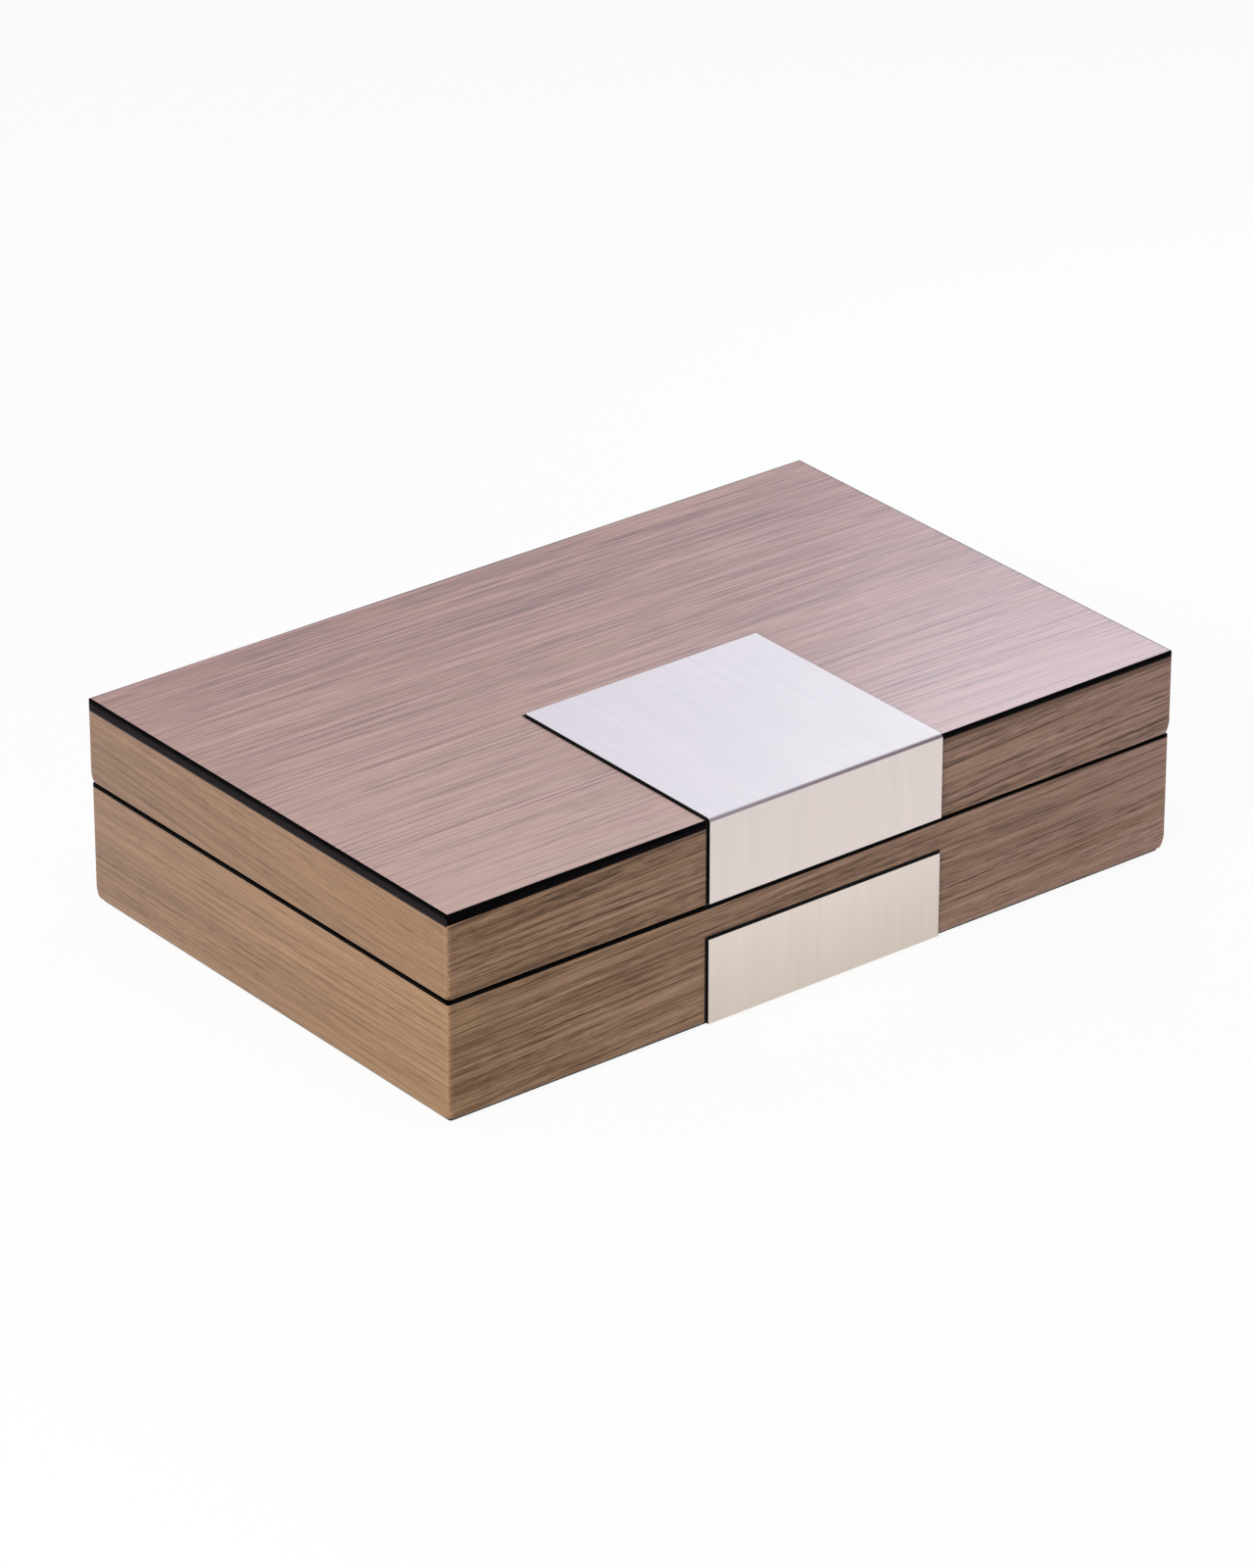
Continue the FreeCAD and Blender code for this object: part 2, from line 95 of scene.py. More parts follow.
walnut = {
    "tones": ((0.05, "#2c1a0b"), (0.95, "#bb9f87"), (0.33, "#5b4226"), (0.5, "#7b5e41"), (0.68, "#997c5f")),
    # redder growth: its tint at the left or front end of a board and at the other, and its share at a dark and
    # at a pale tone; the top's pinker, cooler tint is partly the wood and partly painted reflection of cool
    # light
    "rose": {"front": ("#8d7169", "#8d7067"), "side": ("#8c736a", "#8c766c"), "top": ("#8d7a7b", "#8d6b69")},
    "roseReach": ((0.2, 1.25), (0.75, 0.55)),
    # a cooler tint along some bands, its share, and the bands' noise where it starts and is full
    "mauve": "#8b6b76", "mauveShare": {"front": 0.5, "side": 0.0, "top": 0.6}, "mauveReach": (0.35, 0.65),
    # how far the grain is drawn out along and across each leaf; the top's is the finest
    "stretch": {"front": (2.2, 1.0), "side": (2.0, 1.0), "top": (2.2, 0.85)},
    # length and width of each layer's streaks in mm, the noise's detail, and how far the layer moves the tone
    "layers": {"drift": (240, 40, 1.0, 0.3), "bands": (130, 5.0, 2.0, 0.34), "lines": (38, 1.2, 2.0, 0.56),
               "fibres": (9, 0.5, 2.0, 0.42)},
    "broad": ("drift", "bands"), "noiseRough": 0.55,  # the other layers are fine
    "sway": (170, 45, 1.0), "wander": 8.0,  # the grain's sway: its noise, and how far it goes in mm
    # length and width in mm of the cell that holds one pore, wider than real so that it shows, and its darkness
    "pores": {"long": (8.0, 0.7, 0.28), "short": (3.4, 0.55, 0.2)},
    "poreScatter": 0.85, "poreEdge": (0.1, 0.34),  # shares of the cell where a pore is full, and where it ends
    "poreZones": (60, 7, 1.0), "zoneReach": (0.36, 0.6), "zoneLeast": 0.3,  # patches with more or fewer pores
    # rows of pores: mm between them, how they sway and where they break off
    "rows": {"spacing": 2.6, "sway": (70, 9, 1.0), "swing": 6.0, "edge": 0.35, "breaks": (15, 2.0, 1.5),
             "breakReach": (0.38, 0.58), "dark": 0.27},
    # mm from the upright corner where the finish is rubbed pale, the tone there and how much of it shows
    "wornReach": (0.5, 1.3), "worn": "#ab8b70", "wornShare": 0.2,
    # mm of a board's upper edge painted near-black so that the band above it looks deeper, and how softly it
    # ends
    "lip": {"lid_left": 0.5}, "lipColour": "#080709", "lipSoft": 0.1,
    "poreDepth": 0.05, "poreStrength": 0.3, "gloss": (0.38, 0.54),
    "ior": 1.5, "shine": 0.5, "coat": 0.45, "coatRough": 0.28,  # shine and coat are scaled by the board's sheen
}
overEdge = 0.73  # share of a board's depth by which its leaf runs on over an edge
leafAxes = {
    # along the grain, across it, and out of the leaf
    "front": ((1, 0, 0), (0, overEdge, 1), (0, 1, 0)),
    "side": ((0, 1, 0), (overEdge, 0, 1), (1, 0, 0)),
    "top": ((1, 0, 0), (0, 1, overEdge), (0, 0, 1)),
}


def leafNoise(tree, leaf, length, width, detail):
    # noise drawn out along the grain of the flat leaf
    spot = addNode(tree, "ShaderNodeMapping", values={"Scale": (1 / (length * mm), 1 / (width * mm), 1)},
                   links={"Vector": leaf})
    return addNode(tree, "ShaderNodeTexNoise", {"noise_dimensions": "2D"},
                   {"Scale": 1.0, "Detail": detail, "Roughness": walnut["noiseRough"]}, {"Vector": spot})


def cutLeaf(tree, place, lie, tilt, shift):
    # the flat leaf that covers a board: X along its grain, Y across it, swaying a little
    grain, across, normal = (Vector(v) for v in leafAxes[lie])
    longer, wider = walnut["stretch"][lie]
    turned = addNode(tree, "ShaderNodeMapping", links={"Vector": place},
                     values={"Location": shift, "Rotation": normal * math.radians(tilt)})
    along, cross = (addNode(tree, "ShaderNodeVectorMath", {"operation": "DOT_PRODUCT"}, {1: axis},
                            {0: turned}).outputs["Value"] for axis in (grain / longer, across / wider))
    flat = addNode(tree, "ShaderNodeCombineXYZ", links={"X": along, "Y": cross})
    sway = leafNoise(tree, flat, *walnut["sway"])
    cross = addNode(tree, "ShaderNodeMath", {"operation": "MULTIPLY_ADD"}, {1: walnut["wander"] * mm},
                    {0: sway, 2: cross})
    return addNode(tree, "ShaderNodeCombineXYZ", links={"X": along, "Y": cross})


def poreMarks(tree, leaf):
    # how dark the pores are: dashes in patches, and broken rows
    rows, (few, many) = walnut["rows"], walnut["zoneReach"]
    zone = addNode(tree, "ShaderNodeMapRange", eased,
                   {"From Min": few, "From Max": many, "To Min": walnut["zoneLeast"]},
                   {"Value": leafNoise(tree, leaf, *walnut["poreZones"])})
    full, end = walnut["poreEdge"]
    marks = {}
    for length, width, dark in walnut["pores"].values():
        spot = addNode(tree, "ShaderNodeMapping", values={"Scale": (1 / (length * mm), 1 / (width * mm), 1)},
                       links={"Vector": leaf})
        cell = addNode(tree, "ShaderNodeTexVoronoi", {"voronoi_dimensions": "2D"},
                       {"Scale": 1.0, "Randomness": walnut["poreScatter"]}, {"Vector": spot})
        dash = addNode(tree, "ShaderNodeMapRange", eased,
                       {"From Min": full, "From Max": end, "To Min": dark, "To Max": 0.0}, {"Value": cell})
        marks = {2: addNode(tree, "ShaderNodeMath", {"operation": "MULTIPLY_ADD"}, {2: 0.0},
                            {0: dash, 1: zone, **marks})}  # added to those before it
    cross = addNode(tree, "ShaderNodeSeparateXYZ", links={"Vector": leaf}).outputs["Y"]
    swing = addNode(tree, "ShaderNodeMath", {"operation": "MULTIPLY"}, {1: rows["swing"]},
                    {0: leafNoise(tree, leaf, *rows["sway"])})
    phase = addNode(tree, "ShaderNodeMath", {"operation": "MULTIPLY_ADD"},
                    {1: 2 * math.pi / (rows["spacing"] * mm)}, {0: cross, 2: swing})
    wave = addNode(tree, "ShaderNodeMath", {"operation": "SINE"}, links={0: phase})
    line = addNode(tree, "ShaderNodeMapRange", eased, {"From Min": rows["edge"], "To Max": rows["dark"]},
                   {"Value": wave})
    gone, whole = rows["breakReach"]
    breaks = addNode(tree, "ShaderNodeMapRange", eased, {"From Min": gone, "From Max": whole},
                     {"Value": leafNoise(tree, leaf, *rows["breaks"])})
    return addNode(tree, "ShaderNodeMath", {"operation": "MULTIPLY_ADD"}, links={0: line, 1: breaks, **marks})


def growthColour(tree, lie, tone, redness, run, bands):
    # the wood's colour for its tone, turned to rose and mauve with its growth
    wood = addNode(tree, "ShaderNodeValToRGB", links={"Fac": tone}, stops=walnut["tones"])
    (dark, most), (pale, least) = walnut["roseReach"]
    blush = addNode(tree, "ShaderNodeMapRange", links={"Value": tone},
                    values={"From Min": dark, "From Max": pale, "To Min": most, "To Max": least})
    rose = addNode(tree, "ShaderNodeMath", {"operation": "MULTIPLY", "use_clamp": True},
                   links={0: redness, 1: blush})
    near, far = walnut["rose"][lie]
    tint = addNode(tree, "ShaderNodeMix", mixed, {6: linear(near), 7: linear(far)}, {0: run}).outputs[2]
    start, full = walnut["mauveReach"]
    cool = addNode(tree, "ShaderNodeMapRange", eased, links={"Value": bands}, values={
        "From Min": start, "From Max": full, "To Max": walnut["mauveShare"][lie]})
    tint = addNode(tree, "ShaderNodeMix", mixed, {7: linear(walnut["mauve"])}, {0: cool, 6: tint}).outputs[2]
    return addNode(tree, "ShaderNodeMix", {**mixed, "blend_type": "COLOR"},
                   links={0: rose, 6: wood, 7: tint}).outputs[2]


def rubbedCorner(tree, parts, halfSize):
    # strongest on an upright corner of the case, gone a millimetre off it
    inward = []
    for axis, half in zip("XY", halfSize):
        out = addNode(tree, "ShaderNodeMath", {"operation": "ABSOLUTE"}, links={0: parts[axis]})
        inward.append(addNode(tree, "ShaderNodeMath", {"operation": "SUBTRACT"}, {0: half}, {1: out}))
    away = addNode(tree, "ShaderNodeMath", {"operation": "ADD"}, links=dict(enumerate(inward)))
    near, far = walnut["wornReach"]
    return addNode(tree, "ShaderNodeMapRange", eased, links={"Value": away}, values={
        "From Min": near * mm, "From Max": far * mm, "To Min": walnut["wornShare"], "To Max": 0.0})


def walnutVeneer(node, lie, tilt, shift, look, halfSize):
    # sliced walnut under a thin satin lacquer: straight fibres, rows of dark pore dashes and a soft sheen
    material, tree = newMaterial(f"walnut_veneer_{node}")
    place = addNode(tree, "ShaderNodeTexCoord").outputs["Object"]
    leaf = cutLeaf(tree, place, lie, tilt, shift)
    parts = addNode(tree, "ShaderNodeSeparateXYZ", links={"Vector": place}).outputs
    axis, widest = (0, "lid_front") if lie == "front" else (1, "lid_left")
    reach, half = parts["XY"[axis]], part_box(widest)[1][axis]
    drawn = {}  # what changes from one end or edge of the board to the other
    for name, (first, last) in {**look["ends"], "run": (0.0, 1.0)}.items():
        drawn[name] = addNode(tree, "ShaderNodeMapRange", links={"Value": reach}, values={
            "From Min": -half, "From Max": half, "To Min": first, "To Max": last})
    weights = {layer: look["broad" if layer in walnut["broad"] else "fine"] * size[-1]
               for layer, size in walnut["layers"].items()}
    # partly painted light: the tone is raised towards one end of the board
    tone = addNode(tree, "ShaderNodeMath", {"operation": "ADD"}, {1: (1 - sum(weights.values())) / 2},
                   {0: drawn["toneAndLight"]})
    noises = {}
    for layer, (length, width, detail, _) in walnut["layers"].items():
        noises[layer] = leafNoise(tree, leaf, length, width, detail)
        tone = addNode(tree, "ShaderNodeMath", {"operation": "MULTIPLY_ADD"}, {1: weights[layer]},
                       {0: noises[layer], 2: tone})  # swings the tone about its middle
    pore = addNode(tree, "ShaderNodeMath", {"operation": "MULTIPLY"},
                   links={0: poreMarks(tree, leaf), 1: drawn["pores"]})
    tone = addNode(tree, "ShaderNodeMath", {"operation": "SUBTRACT"}, links={0: tone, 1: pore})
    wood = growthColour(tree, lie, tone, drawn["rose"], drawn["run"], noises["bands"])
    if halfSize:
        wood = addNode(tree, "ShaderNodeMix", mixed, {7: linear(walnut["worn"])},
                       {0: rubbedCorner(tree, parts, halfSize), 6: wood}).outputs[2]
    # near-black painted along the board's upper edge, so that the band looks deeper
    if node in walnut["lip"]:
        edge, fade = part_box(node)[1].z - walnut["lip"][node] * mm, walnut["lipSoft"] * mm
        lip = addNode(tree, "ShaderNodeMapRange", eased, {"From Min": edge - fade, "From Max": edge + fade},
                      {"Value": parts["Z"]})
        wood = addNode(tree, "ShaderNodeMix", mixed, {7: linear(walnut["lipColour"])},
                       {0: lip, 6: wood}).outputs[2]
    satin, dull = walnut["gloss"]
    gloss = addNode(tree, "ShaderNodeMapRange", values={"To Min": satin, "To Max": dull},
                    links={"Value": noises["fibres"]})
    height = addNode(tree, "ShaderNodeMath", {"operation": "SUBTRACT"}, links={0: noises["fibres"], 1: pore})
    bump = addNode(tree, "ShaderNodeBump", links={"Height": height},
                   values={"Strength": walnut["poreStrength"], "Distance": walnut["poreDepth"] * mm})
    closeMaterial(tree, {"IOR": walnut["ior"], "Specular IOR Level": look["sheen"] * walnut["shine"],
                         "Coat Weight": look["sheen"] * walnut["coat"], "Coat Roughness": walnut["coatRough"],
                         "Coat IOR": walnut["ior"]},
                  {"Base Color": wood, "Roughness": gloss, "Normal": bump})
    return material


boards = {
    # how the leaf lies, tilt of its grain in degrees, which part of the sheet it was cut from, and its look:
    # strength of broad and fine figure and of sheen, then pores, rose and a paler tone, each at the left or
    # front and at the opposite side; the paler tone is partly the leaf's own and partly painted light
    "lid_top_panel": ("top", 1.0, (0.13, 0.05, 0.0), (0.7, 1.5, 1.0, (0.3, 0.25), (0.95, 1.0), (0.42, 0.24))),
    "lid_front": ("front", 2.4, (0.31, 0.7, 0.11), (0.9, 1.0, 0.3, (0.75, 0.85), (0.2, 0.75), (0.1, 0.21))),
    "lid_back": ("front", -3.0, (1.13, 0.2, 0.47), (0.9, 0.9, 0.3, (0.8, 0.8), (0.3, 0.3), (0.14, 0.14))),
    "lid_left": ("side", -2.0, (0.9, 1.21, 0.35), (0.4, 0.4, 0.3, (0.25, 0.3), (0.4, 1.0), (0.15, 0.12))),
    "lid_right": ("side", 2.0, (0.5, 0.77, 1.35), (0.8, 0.8, 0.3, (0.7, 0.7), (0.3, 0.3), (0.14, 0.14))),
    "base_front": ("front", 2.4, (0.87, 1.7, 0.62), (0.85, 0.95, 0.3, (0.6, 0.7), (0.15, 0.7), (0.18, 0.3))),
    "base_back": ("front", -4.0, (1.71, 1.2, 0.19), (0.9, 0.9, 0.3, (0.8, 0.8), (0.3, 0.3), (0.14, 0.14))),
    "base_left": ("side", -1.0, (1.4, 0.36, 0.83), (0.45, 0.5, 0.3, (0.3, 0.35), (0.25, 1.0), (0.19, 0.14))),
    "base_right": ("side", 3.0, (0.2, 1.93, 1.05), (0.8, 0.8, 0.3, (0.7, 0.7), (0.3, 0.3), (0.14, 0.14))),
}

for node, (lie, tilt, shift, (broad, fine, sheen, *ends)) in boards.items():
    body = node.split("_")[0]
    halfSize = (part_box(f"{body}_front")[1].x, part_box(f"{body}_left")[1].y) if lie != "top" else None
    look = {"broad": broad, "fine": fine, "sheen": sheen, "ends": dict(zip(("pores", "rose", "toneAndLight"), ends))}
    dress(walnutVeneer(node, lie, tilt, shift, look, halfSize), node)
print("veneer laid on", len(boards), "boards")


# Black trim

lacquer = {
    "cloud": 18, "cloudDetail": 3.0, "tones": ((0.45, "#030203"), (0.8, "#080709")),  # worn in clouds; in mm
    "peel": 0.9, "peelDepth": 0.01, "peelStrength": 0.2,
    # a charcoal face that is painted reflection, how far down the deep black upper edge reaches, and how softly
    # it ends
    "face": "#201c20", "edgeDepth": 1.3, "edgeSoft": 0.3,
    # painted highlight, walnut-coloured, over the lower edge so that the black thins towards one end; its height
    # in mm at one end and along the rest of the strip, and the share of the length between the two
    "bare": "#7c6557", "paintedGlintSoft": 0.15,
    "paintedGlintHeight": {"edge_band_front": (-0.2, 1.6, 0.6), "rim_front": (-1.2, 0.34, 0.72)},
    "gloss": (0.3, 0.45), "ior": 1.5, "shine": 0.015,
    # how much of the painted charcoal reflection shows at the left or front end of a strip, and at its other end
    "strips": {"edge_band_left": (1.0, 1.0), "edge_band_front": (0.0, 0.8), "edge_band_right": (0.8, 0.8),
               "edge_band_back": (0.8, 0.8), "rim_left": (0.0, 0.0), "rim_front": (0.0, 0.0),
               "rim_right": (0.0, 0.0), "rim_back": (0.0, 0.0)},
}


def blackLacquer(node, paintedSheen):
    # sprayed lacquer: a deep black edge over a face painted charcoal as painted reflection, with a muted gloss
    # and a faint orange peel
    material, tree = newMaterial(f"black_lacquer_{node}")
    place = addNode(tree, "ShaderNodeTexCoord").outputs["Object"]
    low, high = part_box(node)
    parts = addNode(tree, "ShaderNodeSeparateXYZ", links={"Vector": place}).outputs
    axis = 0 if high.x - low.x > high.y - low.y else 1
    along, first, last = parts["XY"[axis]], low[axis], high[axis]
    cloud = addNode(tree, "ShaderNodeTexNoise", links={"Vector": place},
                    values={"Scale": 1 / (lacquer["cloud"] * mm), "Detail": lacquer["cloudDetail"]})
    colour = addNode(tree, "ShaderNodeValToRGB", links={"Fac": cloud}, stops=lacquer["tones"])
    # painted reflection: the face is lightened to charcoal, most on the side the light comes from
    share = addNode(tree, "ShaderNodeMapRange", links={"Value": along}, values={
        "From Min": first, "From Max": last, "To Min": paintedSheen[0], "To Max": paintedSheen[1]})
    edge, fade = high.z - lacquer["edgeDepth"] * mm, lacquer["edgeSoft"] * mm
    face = addNode(tree, "ShaderNodeMapRange", eased,
                   {"From Min": edge - fade, "From Max": edge + fade, "To Min": 1.0, "To Max": 0.0},
                   {"Value": parts["Z"]})
    share = addNode(tree, "ShaderNodeMath", {"operation": "MULTIPLY"}, links={0: share, 1: face})
    colour = addNode(tree, "ShaderNodeMix", mixed, {7: linear(lacquer["face"])},
                     {0: share, 6: colour}).outputs[2]
    # painted highlight: walnut colour over the lower edge thins the black towards one end
    if node in lacquer["paintedGlintHeight"]:
        least, most, run = lacquer["paintedGlintHeight"][node]
        level = addNode(tree, "ShaderNodeMapRange", links={"Value": along}, values={
            "From Min": first, "From Max": first + (last - first) * run,
            "To Min": low.z + least * mm, "To Max": low.z + most * mm})
        under = addNode(tree, "ShaderNodeMath", {"operation": "SUBTRACT"}, links={0: level, 1: parts["Z"]})
        fade = lacquer["paintedGlintSoft"] * mm
        bare = addNode(tree, "ShaderNodeMapRange", eased, {"From Min": -fade, "From Max": fade},
                       {"Value": under})
        colour = addNode(tree, "ShaderNodeMix", mixed, {7: linear(lacquer["bare"])},
                         {0: bare, 6: colour}).outputs[2]
    peel = addNode(tree, "ShaderNodeTexNoise", values={"Scale": 1 / (lacquer["peel"] * mm), "Detail": 1.0},
                   links={"Vector": place})
    bump = addNode(tree, "ShaderNodeBump", links={"Height": peel},
                   values={"Strength": lacquer["peelStrength"], "Distance": lacquer["peelDepth"] * mm})
    bright, dull = lacquer["gloss"]
    gloss = addNode(tree, "ShaderNodeMapRange", values={"To Min": bright, "To Max": dull},
                    links={"Value": cloud})
    closeMaterial(tree, {"IOR": lacquer["ior"], "Specular IOR Level": lacquer["shine"]},
                  {"Base Color": colour, "Roughness": gloss, "Normal": bump})
    return material


for node, paintedSheen in lacquer["strips"].items():
    dress(blackLacquer(node, paintedSheen), node)
print("black lacquer on", len(lacquer["strips"]), "strips")


# Steel plates

steel = {
    # painted light: which way the sheet is painted brighter, its colour at the dim and at the bright end (the
    # base plate's darker as painted shade), and the sheared edge at its back or top
    "plates": {"lid_plate": {"paintedLightDirection": (1, -1, 0), "dim": "#e9e0da", "bright": "#fdf6ed", "backEdge": "Y"},
               "base_plate": {"paintedLightDirection": (0, 0, 1), "dim": "#d7cabd", "bright": "#e5dad0", "backEdge": "Z"}},
    # the folded plate: its outer radius in mm, its front's colour, warmer and darker than the top as painted
    # reflection, and where round the fold the front's colour gives way
    "folded": "lid_plate", "bend": 1.5, "front": "#eadfd8", "topReach": (0.3, 0.6),
    # a grey line along the fold, a painted dark reflection, by how far round it is from the front to the top;
    # clearer towards the right
    "foldDarkReflection": ((0.0, "#ffffff"), (0.8, "#ffffff"), (0.1, "#f6f6f6"), (0.24, "#8d8185"), (0.52, "#92878c")),
    "reflectionLeast": 0.8,
    # width and length in mm of strokes drawn coarser than real brushing so that they show, and their shading
    "strokes": {"fine": (0.35, 45, 0.025), "broad": (3.5, 70, 0.018), "haze": (22, 26, 0.02)},
    "strokeDetail": 3.0, "strokeReach": (0.3, 0.7), "strokeDepth": 0.02, "strokeStrength": 0.2,
    "edgeHighlight": 0.5, "edgeHighlightLift": 1.1, "sheared": "#0b0a0a", "shearReach": 0.06,  # mm
    "gloss": (0.44, 0.54),
}


def foldTurn(tree, parts, low, high):
    # 0 on the front of the folded sheet, 1 on its top, and between them on the fold
    bend = steel["bend"] * mm
    up = addNode(tree, "ShaderNodeMath", {"operation": "SUBTRACT"}, {1: high.z - bend}, {0: parts["Z"]})
    out = addNode(tree, "ShaderNodeMath", {"operation": "SUBTRACT"}, {0: low.y + bend}, {1: parts["Y"]})
    sides = [addNode(tree, "ShaderNodeMath", {"operation": "MAXIMUM"}, {1: 0.0}, {0: side})
             for side in (up, out)]
    angle = addNode(tree, "ShaderNodeMath", {"operation": "ARCTAN2"}, links=dict(enumerate(sides)))
    return addNode(tree, "ShaderNodeMapRange", values={"From Max": math.pi / 2}, links={"Value": angle})


def brushedSteel(node, look):
    # stainless sheet brushed in one direction, painted brighter along its ends as a highlight, its sheared edges
    # near-black
    material, tree = newMaterial(f"brushed_steel_{node}")
    place = addNode(tree, "ShaderNodeTexCoord").outputs["Object"]
    low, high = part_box(node)
    parts = addNode(tree, "ShaderNodeSeparateXYZ", links={"Vector": place}).outputs
    # painted light: the sheet is coloured brighter towards one side
    run = addNode(tree, "ShaderNodeVectorMath", {"operation": "DOT_PRODUCT"}, {1: look["paintedLightDirection"]}, {0: place})
    first, last = (sum(pick(t * a, t * b) for t, a, b in zip(look["paintedLightDirection"], low, high))
                   for pick in (min, max))
    paintedLightShare = addNode(tree, "ShaderNodeMapRange", values={"From Min": first, "From Max": last},
                  links={"Value": run.outputs["Value"]})
    colour = addNode(tree, "ShaderNodeMix", mixed, {6: linear(look["dim"]), 7: linear(look["bright"])},
                     {0: paintedLightShare}).outputs[2]
    if node == steel["folded"]:
        turn = foldTurn(tree, parts, low, high)
        start, full = steel["topReach"]
        onTop = addNode(tree, "ShaderNodeMapRange", values={"From Min": start, "From Max": full},
                        links={"Value": turn})
        # painted reflection: the front of the fold is coloured apart from the top
        colour = addNode(tree, "ShaderNodeMix", mixed, {6: linear(steel["front"])},
                         {0: onTop, 7: colour}).outputs[2]
        # painted reflection: a grey line along the fold, clearer towards the right
        line = addNode(tree, "ShaderNodeValToRGB", links={"Fac": turn}, stops=steel["foldDarkReflection"])
        clear = addNode(tree, "ShaderNodeMapRange", links={"Value": parts["X"]}, values={
            "From Min": low.x, "From Max": high.x, "To Min": steel["reflectionLeast"]})
        colour = addNode(tree, "ShaderNodeMix", {**mixed, "blend_type": "MULTIPLY"},
                         links={0: clear, 6: colour, 7: line}).outputs[2]
    inward = [addNode(tree, "ShaderNodeMath", {"operation": "SUBTRACT"}, {1: low.x}, {0: parts["X"]}),
              addNode(tree, "ShaderNodeMath", {"operation": "SUBTRACT"}, {0: high.x}, {1: parts["X"]})]
    inward = addNode(tree, "ShaderNodeMath", {"operation": "MINIMUM"}, links=dict(enumerate(inward)))
    # painted highlight: the colour is lifted within half a millimetre of the left and right ends
    shade = addNode(tree, "ShaderNodeMapRange", links={"Value": inward}, values={
        "From Max": steel["edgeHighlight"] * mm, "To Min": steel["edgeHighlightLift"], "To Max": 1.0})
    weak, strong = steel["strokeReach"]
    stroke = {}
    for name, (width, length, depth) in steel["strokes"].items():
        lie = addNode(tree, "ShaderNodeMapping", links={"Vector": place}, values={
            "Scale": (1 / (width * mm), 1 / (length * mm), 1 / (length * mm))})
        stroke[name] = addNode(tree, "ShaderNodeTexNoise", links={"Vector": lie}, values={
            "Scale": 1.0, "Detail": steel["strokeDetail"]})
        swing = addNode(tree, "ShaderNodeMapRange", links={"Value": stroke[name]}, values={
            "From Min": weak, "From Max": strong, "To Min": 1 - depth, "To Max": 1 + depth})
        shade = addNode(tree, "ShaderNodeMath", {"operation": "MULTIPLY"}, links={0: shade, 1: swing})
    colour = addNode(tree, "ShaderNodeMix", {**mixed, "blend_type": "MULTIPLY"}, {0: 1.0},
                     {6: colour, 7: shade}).outputs[2]
    reach, back = steel["shearReach"] * mm, look["backEdge"]
    # the cut edges are coloured near-black, standing partly for the shade in the gap beside the plate
    onEnd = addNode(tree, "ShaderNodeMath", {"operation": "LESS_THAN"}, {1: reach}, {0: inward})
    onBack = addNode(tree, "ShaderNodeMath", {"operation": "GREATER_THAN"},
                     {1: high["XYZ".index(back)] - reach}, {0: parts[back]})
    sheared = addNode(tree, "ShaderNodeMath", {"operation": "MAXIMUM"}, links={0: onEnd, 1: onBack})
    colour = addNode(tree, "ShaderNodeMix", mixed, {7: linear(steel["sheared"])},
                     {0: sheared, 6: colour}).outputs[2]
    bare = addNode(tree, "ShaderNodeMath", {"operation": "SUBTRACT"}, {0: 1.0}, {1: sheared})
    bright, dull = steel["gloss"]
    gloss = addNode(tree, "ShaderNodeMapRange", links={"Value": stroke["haze"]}, values={
        "From Min": weak, "From Max": strong, "To Min": bright, "To Max": dull})
    bump = addNode(tree, "ShaderNodeBump", links={"Height": stroke["fine"]},
                   values={"Strength": steel["strokeStrength"], "Distance": steel["strokeDepth"] * mm})
    closeMaterial(tree, {}, {"Base Color": colour, "Metallic": bare, "Roughness": gloss, "Normal": bump})
    return material


for node, look in steel["plates"].items():
    dress(brushedSteel(node, look), node)
print("steel brushed on", len(steel["plates"]), "plates")


# Tape, felt, plywood and nickel; sizes in mm

tape = {"cell": 0.4, "depth": 0.05, "strength": 0.4, "rough": 0.85,
        "tones": ((0.0, "#050505"), (1.0, "#0a0a0a"))}


def foamTape():
    # black closed-cell foam: matt, faintly pitted
    material, tree = newMaterial("black_foam_tape")
    place = addNode(tree, "ShaderNodeTexCoord").outputs["Object"]
    cell = addNode(tree, "ShaderNodeTexVoronoi", values={"Scale": 1 / (tape["cell"] * mm)},
                   links={"Vector": place})
    bump = addNode(tree, "ShaderNodeBump", links={"Height": cell},
                   values={"Strength": tape["strength"], "Distance": tape["depth"] * mm})
    colour = addNode(tree, "ShaderNodeValToRGB", links={"Fac": cell}, stops=tape["tones"])
    closeMaterial(tree, {"Roughness": tape["rough"]}, {"Base Color": colour, "Normal": bump})
    return material


felt = {"tuft": 0.6, "detail": 4.0, "tuftRough": 0.7, "tangle": 0.8, "depth": 0.25, "strength": 0.7,
        "tones": ((0.3, "#0c0c0e"), (0.75, "#17171a")), "rough": 0.95, "sheen": 0.3, "sheenRough": 0.6}


def pressedFelt():
    # wool felt: matted fibres with no direction
    material, tree = newMaterial("pressed_felt")
    place = addNode(tree, "ShaderNodeTexCoord").outputs["Object"]
    tuft = addNode(tree, "ShaderNodeTexNoise", links={"Vector": place}, values={
        "Scale": 1 / (felt["tuft"] * mm), "Detail": felt["detail"], "Roughness": felt["tuftRough"],
        "Distortion": felt["tangle"]})
    colour = addNode(tree, "ShaderNodeValToRGB", links={"Fac": tuft}, stops=felt["tones"])
    bump = addNode(tree, "ShaderNodeBump", links={"Height": tuft},
                   values={"Strength": felt["strength"], "Distance": felt["depth"] * mm})
    closeMaterial(tree, {"Roughness": felt["rough"], "Sheen Weight": felt["sheen"],
                         "Sheen Roughness": felt["sheenRough"]}, {"Base Color": colour, "Normal": bump})
    return material


